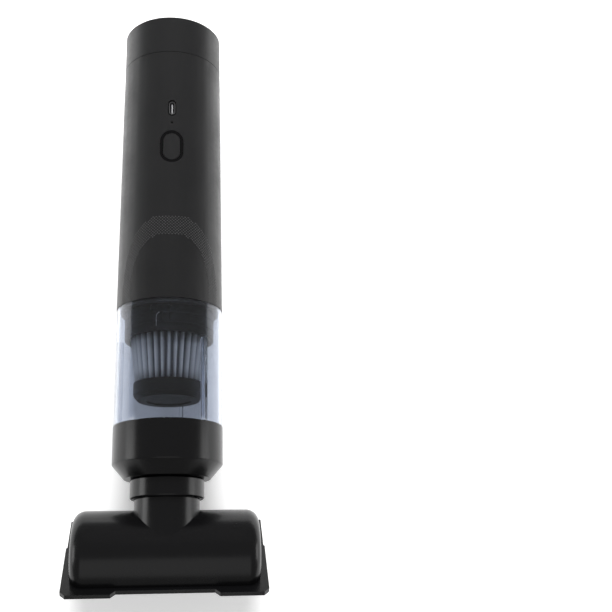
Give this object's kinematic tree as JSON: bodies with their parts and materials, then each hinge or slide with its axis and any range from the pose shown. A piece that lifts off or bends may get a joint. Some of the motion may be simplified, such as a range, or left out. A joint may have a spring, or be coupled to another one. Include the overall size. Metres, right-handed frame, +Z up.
{
  "type": "handheld vacuum",
  "caption": "Slim cordless handheld vacuum with a clear dust cup, pleated filter, front power button and a wide tilted floor head on a swivelling neck.",
  "frame": {"origin": "on the surface it lies on, below the middle of its overall box", "axes": "+Y along the long axis towards the rear cap, the head at -Y; +Z up, the way the power button faces; +X to the right seen from above with the head towards the viewer"},
  "size_m": [0.124, 0.3876, 0.07],
  "materials": {
    "casing": "fine matt moulded",
    "satin_black": "satin moulded",
    "gloss_black": "gloss",
    "button": "satin moulded",
    "inner_plastic": "moulded",
    "impeller": "moulded",
    "clear_cup": "smoke tinted clear moulded",
    "filter_paper": "pleated paper",
    "foam": "open foam",
    "lint_velvet": "short pile",
    "seal": "matt",
    "steel": "plain",
    "motor_can": "drawn",
    "cell": "shrink wrapped",
    "board": "solder mask",
    "switch": "moulded",
    "lamp": "clear moulded"
  },
  "bodies": {
    "housing": {"main_housing": "casing", "control_board": "board", "usb_c_trim": "satin_black", "usb_c_shell": "steel", "usb_c_tongue": "satin_black", "led_light_pipe": "lamp", "button_bezel": "gloss_black", "button_switch": "switch", "battery_cell_1": "cell", "battery_cell_2": "cell", "battery_cell_3": "cell", "battery_holder_front": "inner_plastic", "battery_holder_rear": "inner_plastic", "motor_can": "motor_can", "motor_screws": "steel", "motor_stator": "steel", "motor_bearing_front": "steel", "motor_bearing_rear": "steel", "fan_shroud": "inner_plastic", "motor_bulkhead": "inner_plastic", "motor_gasket": "seal", "filter_holder": "satin_black", "cup_seal": "seal"},
    "rear_cap": {"rear_cap": "casing", "exhaust_foam": "foam"},
    "button": {"power_button": "button"},
    "rotor": {"motor_shaft": "steel", "rotor_core": "steel", "impeller": "impeller"},
    "filter": {"filter_top_ring": "satin_black", "filter_gasket": "seal", "filter_pleats": "filter_paper", "filter_end_cap": "satin_black"},
    "cup": {"dust_cup": "clear_cup", "cup_collar": "satin_black", "nozzle_o_ring": "seal", "flap_pin": "steel", "flap_brackets": "satin_black"},
    "flap": {"inlet_flap": "seal"},
    "neck_ring": {"socket_ring": "satin_black"},
    "head": {"head_shell": "satin_black", "head_base_plate": "satin_black", "lint_strip_front": "lint_velvet", "lint_strip_rear": "lint_velvet", "head_screws": "steel"}
  },
  "joints": [
    {"name": "rear_cap_pull", "type": "slide", "parent": "housing", "child": "rear_cap", "axis": [0, 1, 0], "range_m": [0, 0.03]},
    {"name": "button_press", "type": "slide", "parent": "housing", "child": "button", "axis": [0, 0, -1], "range_m": [0, 0.0012], "stiffness_N_per_m": 600, "springref_m": -0.0004},
    {"name": "impeller_spin", "type": "hinge", "parent": "housing", "child": "rotor", "pos_m": [0, 0, 0.035], "axis": [0, 1, 0], "continuous": true},
    {"name": "filter_twist", "type": "hinge", "parent": "housing", "child": "filter", "pos_m": [0, 0, 0.035], "axis": [0, 1, 0], "range_deg": [0, 14]},
    {"name": "cup_pull", "type": "slide", "parent": "housing", "child": "cup", "axis": [0, -1, 0], "range_m": [0, 0.08]},
    {"name": "flap_swing", "type": "hinge", "parent": "cup", "child": "flap", "pos_m": [0, -0.10687, 0.0582], "axis": [1, 0, 0], "range_deg": [0, 30]},
    {"name": "neck_ring_pull", "type": "slide", "parent": "cup", "child": "neck_ring", "axis": [0, -1, 0], "range_m": [0, 0.02]},
    {"name": "head_swivel", "type": "hinge", "parent": "neck_ring", "child": "head", "pos_m": [0, -0.13437, 0.035], "axis": [0, 1, 0], "continuous": true}
  ]
}
